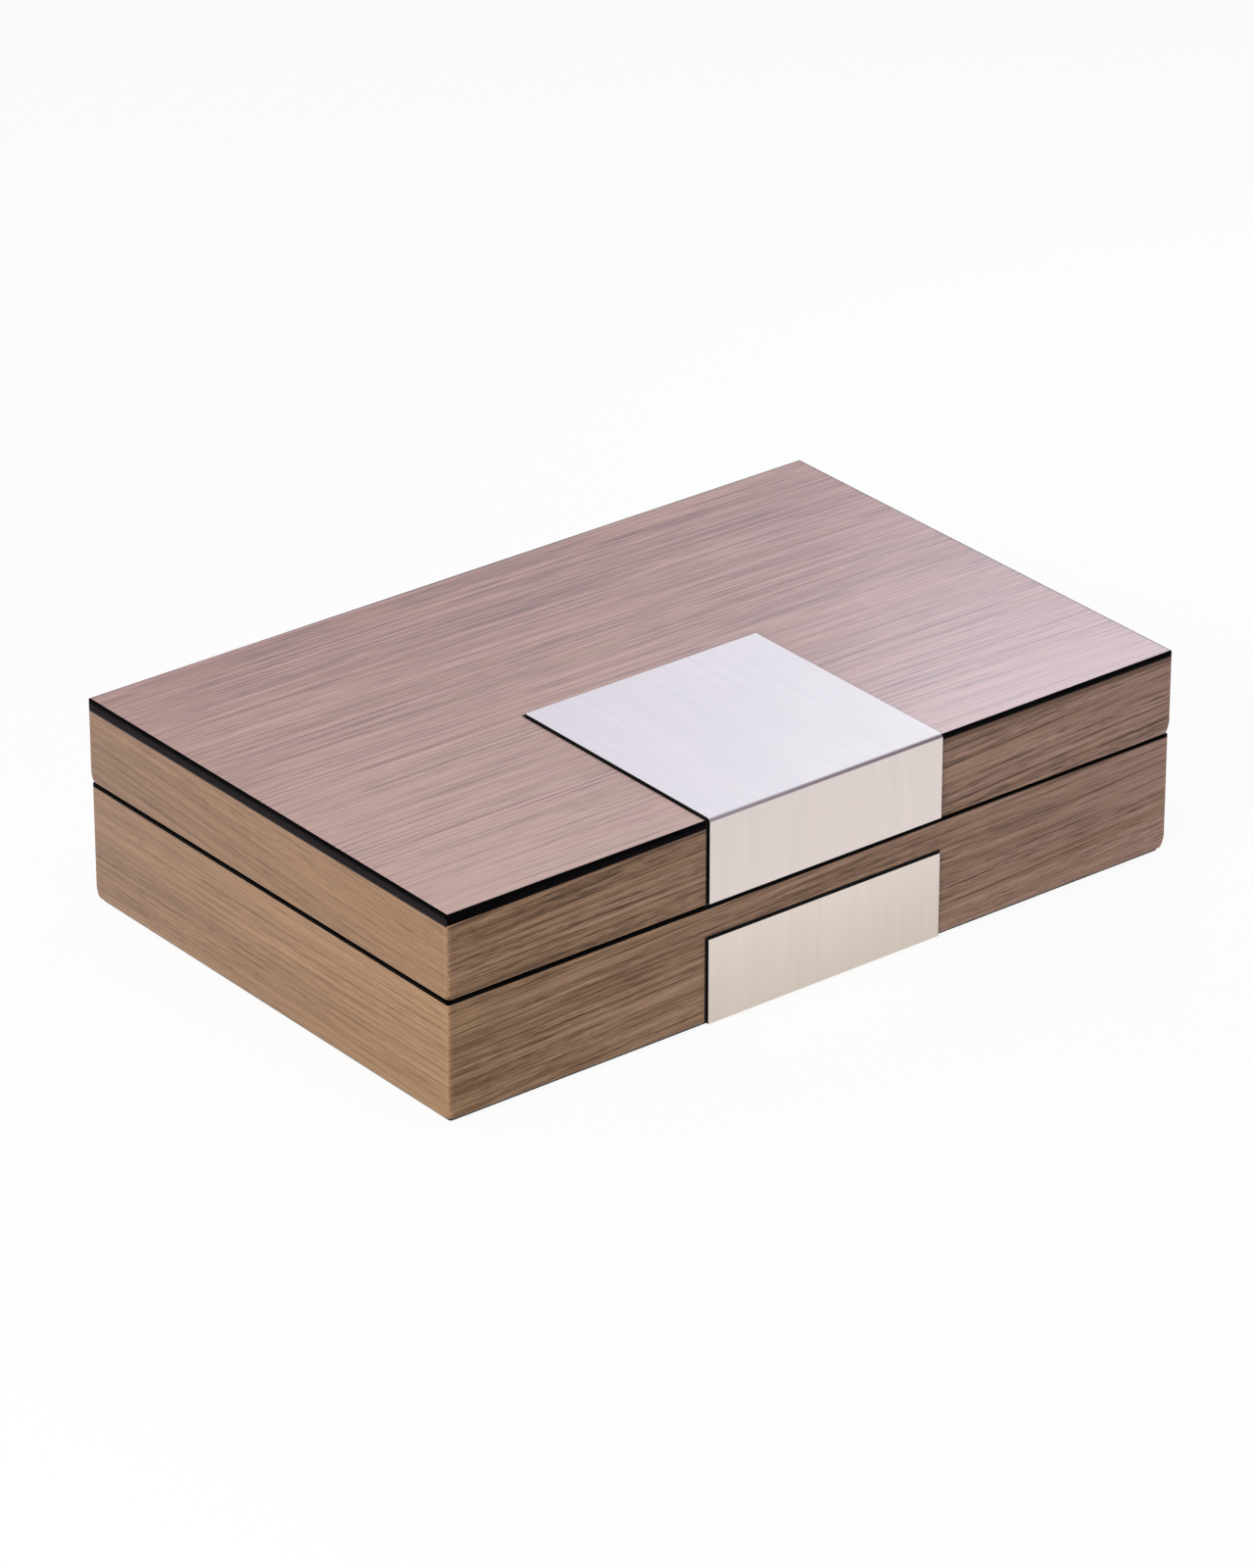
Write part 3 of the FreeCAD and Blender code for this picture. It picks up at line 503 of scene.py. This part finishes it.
ply = {"streak": (90, 3), "detail": 3.0, "tones": ((0.3, "#96774f"), (0.7, "#b99a74")), "rough": 0.6}


def birchPly():
    # sanded birch face: pale, with faint long streaks
    material, tree = newMaterial("birch_plywood")
    place = addNode(tree, "ShaderNodeTexCoord").outputs["Object"]
    length, width = (size * mm for size in ply["streak"])
    lie = addNode(tree, "ShaderNodeMapping", values={"Scale": (1 / length, 1 / width, 1 / width)},
                  links={"Vector": place})
    streak = addNode(tree, "ShaderNodeTexNoise", values={"Scale": 1.0, "Detail": ply["detail"]},
                     links={"Vector": lie})
    colour = addNode(tree, "ShaderNodeValToRGB", links={"Fac": streak}, stops=ply["tones"])
    closeMaterial(tree, {"Roughness": ply["rough"]}, {"Base Color": colour})
    return material


nickel = {"film": 4, "detail": 4.0, "tones": ((0.35, "#968f86"), (0.65, "#b5aea4")), "gloss": (0.14, 0.34)}


def nickelPlate():
    # bright nickel over stamped steel, dulled a little by handling
    material, tree = newMaterial("nickel_plate")
    place = addNode(tree, "ShaderNodeTexCoord").outputs["Object"]
    film = addNode(tree, "ShaderNodeTexNoise", links={"Vector": place},
                   values={"Scale": 1 / (nickel["film"] * mm), "Detail": nickel["detail"]})
    colour = addNode(tree, "ShaderNodeValToRGB", links={"Fac": film}, stops=nickel["tones"])
    bright, dull = nickel["gloss"]
    gloss = addNode(tree, "ShaderNodeMapRange", values={"To Min": bright, "To Max": dull},
                    links={"Value": film})
    closeMaterial(tree, {"Metallic": 1.0}, {"Base Color": colour, "Roughness": gloss})
    return material


dress(foamTape(), "lid_plate_tape", "base_plate_tape")
dress(pressedFelt(), "felt_sheet")
dress(birchPly(), "bottom_panel", "lid_pad_board")
dress(nickelPlate(), *[n for n in nodes if n.startswith("hinge_") or n.endswith(("_screws", "_magnets"))])
print("tape, felt, plywood and nickel finished")


# Velvet

velvet = {
    "tones": ((0.3, "#1d1d20"), (0.7, "#34343a")), "rough": 0.9, "shine": 0.2,
    "napPatch": 7, "napHair": 0.35, "napDepth": 0.12,  # mm
    "detail": 2.0, "swirl": 0.6, "hairShare": 0.45, "strength": 0.5,
    "sheen": 0.55, "sheenRough": 0.35, "sheenTint": "#b9b9c4",
}


def cutVelvet():
    # short cut pile: dark face on, pale at grazing angles, brushed unevenly
    material, tree = newMaterial("charcoal_velvet")
    place = addNode(tree, "ShaderNodeTexCoord").outputs["Object"]
    patch = addNode(tree, "ShaderNodeTexNoise", links={"Vector": place}, values={
        "Scale": 1 / (velvet["napPatch"] * mm), "Detail": velvet["detail"], "Distortion": velvet["swirl"]})
    hair = addNode(tree, "ShaderNodeTexNoise", links={"Vector": place}, values={
        "Scale": 1 / (velvet["napHair"] * mm), "Detail": velvet["detail"]})
    blend = addNode(tree, "ShaderNodeMix", {"data_type": "FLOAT"}, {0: velvet["hairShare"]},
                    {2: patch, 3: hair})
    colour = addNode(tree, "ShaderNodeValToRGB", links={"Fac": blend}, stops=velvet["tones"])
    bump = addNode(tree, "ShaderNodeBump", links={"Height": hair},
                   values={"Strength": velvet["strength"], "Distance": velvet["napDepth"] * mm})
    closeMaterial(tree, {"Roughness": velvet["rough"], "Specular IOR Level": velvet["shine"],
                         "Sheen Weight": velvet["sheen"], "Sheen Roughness": velvet["sheenRough"],
                         "Sheen Tint": linear(velvet["sheenTint"])}, {"Base Color": colour, "Normal": bump})
    return material


velvetCloth = cutVelvet()
lined = [n for n in nodes if "liner" in n or "divider" in n or n == "floor_lining"]
dress(velvetCloth, *lined)
print("velvet on", len(lined), "lined boards")


# Padding: velvet over foam, swollen by a cloth simulation

cloth = {"frames": 20, "steps": 6, "mass": 0.3, "stretch": 15.0, "shear": 5.0, "bending": 0.4}


def meshObject(name, mesh):
    made = bpy.data.objects.new(name, mesh)
    bpy.context.scene.collection.objects.link(made)
    return made


def bakeMesh(made, name):
    # the evaluated shape of an object as a plain mesh; the object itself goes
    graph = bpy.context.evaluated_depsgraph_get()
    mesh = bpy.data.meshes.new_from_object(made.evaluated_get(graph))
    mesh.name = name
    old = made.data
    bpy.data.objects.remove(made)
    bpy.data.meshes.remove(old)
    return mesh


def inflate(mesh, held, look, keepIn):
    # lets the cover swell round its foam, at a larger scale because the solver is made for metres
    start = [v.co.copy() for v in mesh.vertices]
    mesh.transform(Matrix.Scale(look["grow"], 4))
    blank = meshObject("swelling", mesh)
    blank.vertex_groups.new(name="held").add(held, 1.0, "REPLACE")
    modifier = blank.modifiers.new("cloth", "CLOTH")
    setting = modifier.settings
    setting.quality, setting.mass = cloth["steps"], cloth["mass"]
    setting.tension_stiffness = setting.compression_stiffness = cloth["stretch"]
    setting.shear_stiffness, setting.bending_stiffness = cloth["shear"], cloth["bending"]
    setting.vertex_group_mass = "held"
    setting.shrink_min = -look["slack"]
    setting.use_pressure, setting.uniform_pressure_force = True, look["pressure"]
    setting.effector_weights.gravity = 0.0
    modifier.collision_settings.use_collision = False
    modifier.point_cache.frame_start, modifier.point_cache.frame_end = 1, cloth["frames"]
    scene = bpy.context.scene
    for number in range(1, cloth["frames"] + 1):
        scene.frame_set(number)
    swollen = bakeMesh(blank, "swollen")
    scene.frame_set(1)
    furthest = 0.0
    for vertex, old in zip(swollen.vertices, start):
        move = vertex.co / look["grow"] - old
        if move.length > look["cap"] * mm:
            move.length = look["cap"] * mm
        vertex.co = keepIn(old + move)
        furthest = max(furthest, (vertex.co - old).length)
    print("cover swelled by up to", round(furthest / mm, 2), "mm")
    return swollen


def smoothMesh(mesh, name):
    # one subdivision, then smooth shading
    rough = meshObject(name, mesh)
    finer = rough.modifiers.new("finer", "SUBSURF")
    finer.levels = finer.render_levels = 1
    smooth = bakeMesh(rough, name)
    smooth.shade_smooth()
    return smooth


def shareAt(profile, away):
    # the share at this distance, on straight runs between a profile's places in mm
    spots = list(zip(*profile))
    for (a, low), (b, high) in zip(spots, spots[1:]):
        if away <= b * mm:
            return low + (high - low) * max(0.0, (away / mm - a) / (b - a))
    return 1.0


def within(value, most):
    return max(-most, min(most, value))


rolls = {
    "stations": 58, "ring": 32, "foot": 8, "capRings": (0.82, 0.58, 0.32, 0.12), "capHeight": 0.4,
    "ends": ((0.0, 1.25, 3.0, 5.0), (0.72, 0.88, 0.97, 1.0)),  # mm from the end, and size there
    "under": 0.95, "grow": 20.0, "pressure": 4.0, "slack": 0.03,
    "cap": 0.9, "glued": 0.01,  # mm that the cover may swell, and below which its foot is held
    "pleats": 15, "pleatDepth": 0.22, "pleatReach": 9.0, "dent": 0.7,  # gathers at the ends, in mm
    "seed": 11, "slump": 0.03,  # how much lower some rolls are than the fullest
}


def rollOutline(width, height):
    # an arch on a flat foot, from the near corner over the top and back along the foot
    r, side = width / 2, rolls["ring"] // 4
    rise, turns = height - r, rolls["ring"] - 2 * side
    points = [(-r, rise * k / side) for k in range(side)]
    for k in range(turns + 1):
        points.append((-r * math.cos(math.pi * k / turns), rise + r * math.sin(math.pi * k / turns)))
    points += [(r, rise * k / side) for k in reversed(range(side))]
    points += [(r - 2 * r * k / rolls["foot"], 0.0) for k in range(1, rolls["foot"])]
    return points


def rollMesh(size):
    # one roll, lying along X on the floor at the origin, and the points of its foot
    half = size.x / 2
    outline = rollOutline(size.y * rolls["under"], size.z * rolls["under"])
    count = len(outline)
    points, faces = [], []
    for k in range(rolls["stations"] + 1):
        x = -half * math.cos(math.pi * k / rolls["stations"])  # closer together near the ends
        away = half - abs(x)
        share = shareAt(rolls["ends"], away)
        gather = max(0, 1 - away / (rolls["pleatReach"] * mm)) ** 2
        for j, (y, z) in enumerate(outline):
            fold = math.cos(2 * math.pi * rolls["pleats"] * j / count) * gather
            push = 1 + fold * rolls["pleatDepth"] * mm / (size.y / 2)
            points.append((x, y * share * push, z * share * (push if z > 0 else 1)))
        if k:
            a, b = (k - 1) * count, k * count
            faces += [(a + j, b + j, b + (j + 1) % count, a + (j + 1) % count) for j in range(count)]
    for side, first in ((-1, 0), (1, rolls["stations"] * count)):
        rim, centre = first, Vector((side * half, 0, size.z * rolls["capHeight"] * rolls["ends"][1][0]))
        for ring in rolls["capRings"]:
            start = len(points)
            inward = -side * rolls["dent"] * mm * (1 - ring) ** 2
            for j in range(count):
                spot = centre + (Vector(points[first + j]) - centre) * ring
                points.append((spot.x + inward, spot.y, spot.z))
            quads = [(rim + j, rim + (j + 1) % count, start + (j + 1) % count, start + j)
                     for j in range(count)]
            faces += quads if side < 0 else [tuple(reversed(q)) for q in quads]
            rim = start
        points.append((centre.x - side * rolls["dent"] * mm, centre.y, centre.z))
        tips = [(rim + j, rim + (j + 1) % count, len(points) - 1) for j in range(count)]
        faces += tips if side < 0 else [tuple(reversed(t)) for t in tips]
    mesh = bpy.data.meshes.new("roll")
    mesh.from_pydata(points, [], faces)
    shell = bmesh.new()
    shell.from_mesh(mesh)
    bmesh.ops.recalc_face_normals(shell, faces=shell.faces)
    shell.to_mesh(mesh)
    shell.free()
    return mesh, [k for k, spot in enumerate(points) if spot[2] < rolls["glued"] * mm]


def rollRowTree():
    # a row of rolls side by side, every one turned or lowered a little differently
    tree = bpy.data.node_groups.new("roll_row", "GeometryNodeTree")
    face = tree.interface
    face.new_socket("Geometry", in_out="OUTPUT", socket_type="NodeSocketGeometry")
    for name, kind in (("Geometry", "Geometry"), ("Count", "Int"), ("Pitch", "Float"), ("Start", "Vector"),
                       ("Slump", "Float"), ("Seed", "Int"), ("Material", "Material")):
        face.new_socket(name, in_out="INPUT", socket_type=f"NodeSocket{kind}")
    given = addNode(tree, "NodeGroupInput").outputs
    step = addNode(tree, "ShaderNodeCombineXYZ", links={"Y": given["Pitch"]})
    line = addNode(tree, "GeometryNodeMeshLine", {"mode": "OFFSET"}, {},
                   {"Count": given["Count"], "Start Location": given["Start"], "Offset": step})
    lowest = addNode(tree, "ShaderNodeMath", {"operation": "SUBTRACT"}, {0: 1.0}, {1: given["Slump"]})
    height = addNode(tree, "FunctionNodeRandomValue", {"data_type": "FLOAT"}, {3: 1.0},
                     {2: lowest, "Seed": given["Seed"]}).outputs[1]
    size = addNode(tree, "ShaderNodeCombineXYZ", values={"X": 1.0, "Y": 1.0}, links={"Z": height})
    flip = addNode(tree, "FunctionNodeRandomValue", {"data_type": "INT"}, {4: 0, 5: 1},
                   {"Seed": given["Seed"]}).outputs[2]
    angle = addNode(tree, "ShaderNodeMath", {"operation": "MULTIPLY"}, {1: math.pi}, {0: flip})
    turn = addNode(tree, "ShaderNodeCombineXYZ", links={"Z": angle})
    row = addNode(tree, "GeometryNodeInstanceOnPoints", links={
        "Points": line, "Instance": given["Geometry"], "Rotation": turn, "Scale": size})
    solid = addNode(tree, "GeometryNodeRealizeInstances", links={"Geometry": row})
    clad = addNode(tree, "GeometryNodeSetMaterial", links={"Geometry": solid, "Material": given["Material"]})
    addNode(tree, "NodeGroupOutput", links={"Geometry": clad})
    return tree


def layRolls():
    names = sorted(n for n in nodes if n.startswith("ring_roll"))
    low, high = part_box(names[0])
    size, pitch, middle = high - low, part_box(names[1])[0].y - low.y, (low + high) / 2
    mesh, held = rollMesh(size)

    def keepIn(spot):
        return Vector((within(spot.x, size.x / 2), within(spot.y, size.y / 2), max(0, min(size.z, spot.z))))

    mesh = inflate(mesh, held, rolls, keepIn)
    one = meshObject("roll", smoothMesh(mesh, "roll"))
    modifier = one.modifiers.new("row", "NODES")
    modifier.node_group = tree = rollRowTree()
    sizes = {"Count": len(names), "Pitch": pitch, "Start": (middle.x, middle.y, low.z),
             "Slump": rolls["slump"], "Seed": rolls["seed"], "Material": velvetCloth}
    for item in tree.interface.items_tree:
        if item.name in sizes and item.in_out == "INPUT":
            modifier[item.identifier] = sizes[item.name]
    row = meshObject("ring_rolls", bakeMesh(one, "ring_rolls"))
    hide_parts(*names)
    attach(row, "base")
    print("ring rolls laid:", len(names), "with", len(row.data.polygons), "faces")


lidPad = {
    "cells": (88, 54), "corner": 3.0, "sideLevels": (0.5, 0.0),  # mm; shares of the depth, up to the board
    "depths": ((0.0, 1.7, 10.2, 34.0), (0.5, 0.72, 0.9, 1.0)),  # mm in from the edge, and depth there
    "under": 0.82, "grow": 5.0, "pressure": 4.0, "slack": 0.02, "cap": 2.2,  # cap in mm
}


def fitLidPad():
    low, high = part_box("lid_pad")
    half, deep, middle = (high - low) / 2, high.z - low.z, (low + high) / 2
    across, down = lidPad["cells"]
    r = lidPad["corner"] * mm

    def pastCorner(x, y):
        # how far a spot lies beyond the centre of its rounded corner
        return abs(x) - (half.x - r), abs(y) - (half.y - r)

    def depthAt(x, y):
        # share of the full depth, by the distance in from the rounded outline
        dx, dy = pastCorner(x, y)
        inward = r - math.hypot(dx, dy) if dx > 0 and dy > 0 else r - max(dx, dy)
        return shareAt(lidPad["depths"], max(0, inward))

    def keepIn(spot):
        deepest = deep * depthAt(spot.x, spot.y)
        return Vector((within(spot.x, half.x), within(spot.y, half.y), max(-deepest, min(0, spot.z))))

    points = []
    for j in range(down + 1):
        for i in range(across + 1):
            x, y = half.x * (2 * i / across - 1), half.y * (2 * j / down - 1)
            dx, dy = pastCorner(x, y)
            if dx > 0 and dy > 0:  # the sheet's corners are drawn round
                pull = max(dx, dy) / math.hypot(dx, dy)
                x, y = math.copysign(half.x - r + dx * pull, x), math.copysign(half.y - r + dy * pull, y)
            points.append((x, y, -deep * lidPad["under"] * depthAt(x, y)))
    wide = across + 1
    faces = [(j * wide + i, (j + 1) * wide + i, (j + 1) * wide + i + 1, j * wide + i + 1)
             for j in range(down) for i in range(across)]
    edge = list(range(wide)) + [j * wide + across for j in range(1, down + 1)]
    edge += [down * wide + i for i in reversed(range(across))] + [j * wide for j in reversed(range(1, down))]
    lower = edge
    for level in lidPad["sideLevels"]:  # the side of the pad, up to its board
        upper = list(range(len(points), len(points) + len(edge)))
        points += [(points[k][0], points[k][1], points[k][2] * level) for k in edge]
        faces += [(lower[k - 1], lower[k], upper[k], upper[k - 1]) for k in range(len(edge))]
        lower = upper
    mesh = bpy.data.meshes.new("lid_pad_cover")
    mesh.from_pydata(points, [], faces)
    mesh = inflate(mesh, upper, lidPad, keepIn)
    mesh = smoothMesh(mesh, "lid_pad_cover")
    shell = bmesh.new()
    shell.from_mesh(mesh)
    bmesh.ops.translate(shell, verts=shell.verts, vec=(middle.x, middle.y, high.z))
    bmesh.ops.holes_fill(shell, edges=[e for e in shell.edges if e.is_boundary], sides=0)  # its glued back
    bmesh.ops.recalc_face_normals(shell, faces=shell.faces)
    shell.to_mesh(mesh)
    shell.free()
    cushion = meshObject("lid_pad_cover", mesh)
    mesh.materials.append(velvetCloth)
    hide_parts("lid_pad")
    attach(cushion, "lid")
    print("lid pad fitted with", len(mesh.polygons), "faces")


layRolls()
fitLidPad()


# Floor, world, lights and camera

stage = {"floorSize": 8.0, "floor": "#f2f4fb", "glow": 0.92, "white": "#ffffff",
         "sky": 0.34, "skyTint": "#f4f5ff", "gloss": 1.1, "glossSky": "#e7ebfd"}


def paleFloor():
    # pale paper: white to the eye and to the metal, with the box's own soft shadow left on it
    material, tree = newMaterial("pale_paper_floor")
    path = addNode(tree, "ShaderNodeLightPath").outputs
    seen = path["Is Camera Ray"]
    for ray in ("Is Glossy Ray", "Is Transmission Ray"):
        seen = addNode(tree, "ShaderNodeMath", {"operation": "MAXIMUM"}, links={0: seen, 1: path[ray]})
    share = addNode(tree, "ShaderNodeMath", {"operation": "MULTIPLY"}, {1: stage["glow"]}, {0: seen})
    paper = addNode(tree, "ShaderNodeBsdfDiffuse", values={"Color": linear(stage["floor"])})
    glow = addNode(tree, "ShaderNodeEmission", values={"Color": linear(stage["white"]), "Strength": 1.0})
    both = addNode(tree, "ShaderNodeMixShader", links={0: share, 1: paper, 2: glow})
    addNode(tree, "ShaderNodeOutputMaterial", links={"Surface": both})
    return material


def buildStage():
    half = stage["floorSize"] / 2
    mesh = bpy.data.meshes.new("floor")
    corners = [(-half, -half, 0), (half, -half, 0), (half, half, 0), (-half, half, 0)]
    mesh.from_pydata(corners, [], [(0, 1, 2, 3)])
    mesh.materials.append(paleFloor())
    meshObject("floor", mesh)
    world = bpy.data.worlds.new("studio")
    bpy.context.scene.world = world
    world.use_nodes = True
    tree = world.node_tree
    tree.nodes.clear()
    path = addNode(tree, "ShaderNodeLightPath").outputs
    mirror = addNode(tree, "ShaderNodeMath", {"operation": "MAXIMUM"},
                     links={0: path["Is Glossy Ray"], 1: path["Is Transmission Ray"]})
    rooms = ((stage["skyTint"], stage["sky"]), (stage["glossSky"], stage["gloss"]), (stage["white"], 1.0))
    fill, gloss, white = (addNode(tree, "ShaderNodeBackground", values={
        "Color": linear(colour), "Strength": power}) for colour, power in rooms)
    first = addNode(tree, "ShaderNodeMixShader", links={0: mirror, 1: fill, 2: gloss})
    last = addNode(tree, "ShaderNodeMixShader", links={0: path["Is Camera Ray"], 1: first, 2: white})
    addNode(tree, "ShaderNodeOutputWorld", links={"Surface": last})


lights = {
    # place, width and height of the softbox, and aim in metres; power in watts; colour
    "key_left": ((-0.9, -0.27, 0.62), (0.7, 0.7), (0, -0.03, 0.035), 9.0, "#fff1d2"),
    "strip_right": ((0.46, 0.2, 0.36), (0.3, 0.16), (0.3, -0.1, 0.07), 0.9, "#e9e9ff"),
    "top_fill": ((0.0, -0.2, 1.6), (1.1, 1.1), (0, 0, 0.035), 4.8, "#fff4ea"),
}
mirrorNode = "lid_plate"  # would mirror a lamp as a white patch, so it sees the room alone


def addLights():
    flagged = bpy.data.collections.new("flagged_off")
    flagged.objects.link(nodes[mirrorNode])
    for member in flagged.collection_objects:
        member.light_linking.link_state = "EXCLUDE"
    for name, (place, (width, height), aim, power, colour) in lights.items():
        lamp = bpy.data.lights.new(name, "AREA")
        lamp.shape = "RECTANGLE"
        lamp.size, lamp.size_y, lamp.energy, lamp.color = width, height, power, linear(colour)[:3]
        holder = meshObject(name, lamp)
        holder.location = place
        holder.visible_camera = False
        holder.rotation_euler = (Vector(aim) - Vector(place)).to_track_quat("-Z", "Y").to_euler()
        holder.light_linking.receiver_collection = flagged


photo = {
    # the photograph's viewing angle in degrees, the camera's distance and shifts in metres, and its lens
    "azimuth": -38.419, "elevation": 26.964, "distance": 2.3831, "right": -0.002015, "up": 0.027127,
    "focalPixels": 7870.9, "tallPixels": 1600, "sensor": 36.0, "clip": (0.01, 100),
}


def addCamera():
    a, e = math.radians(photo["azimuth"]), math.radians(photo["elevation"])
    back = Vector((math.sin(a) * math.cos(e), -math.cos(a) * math.cos(e), math.sin(e)))
    right = Vector((math.cos(a), math.sin(a), 0))
    up = back.cross(right)
    data = bpy.data.cameras.new("camera")
    data.sensor_width = photo["sensor"]
    data.lens = photo["focalPixels"] / photo["tallPixels"] * photo["sensor"]
    data.clip_start, data.clip_end = photo["clip"]
    camera = meshObject("camera", data)
    foot = Vector((0, 0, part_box("base_front")[0].z))
    turn = Matrix((right, up, back)).transposed()
    camera.matrix_world = Matrix.Translation(
        foot + right * photo["right"] + up * photo["up"] + back * photo["distance"]) @ turn.to_4x4()
    bpy.context.scene.camera = camera


buildStage()
addLights()
addCamera()
bpy.context.scene.view_settings.view_transform = "Standard"
print("stage, lights and camera ready")
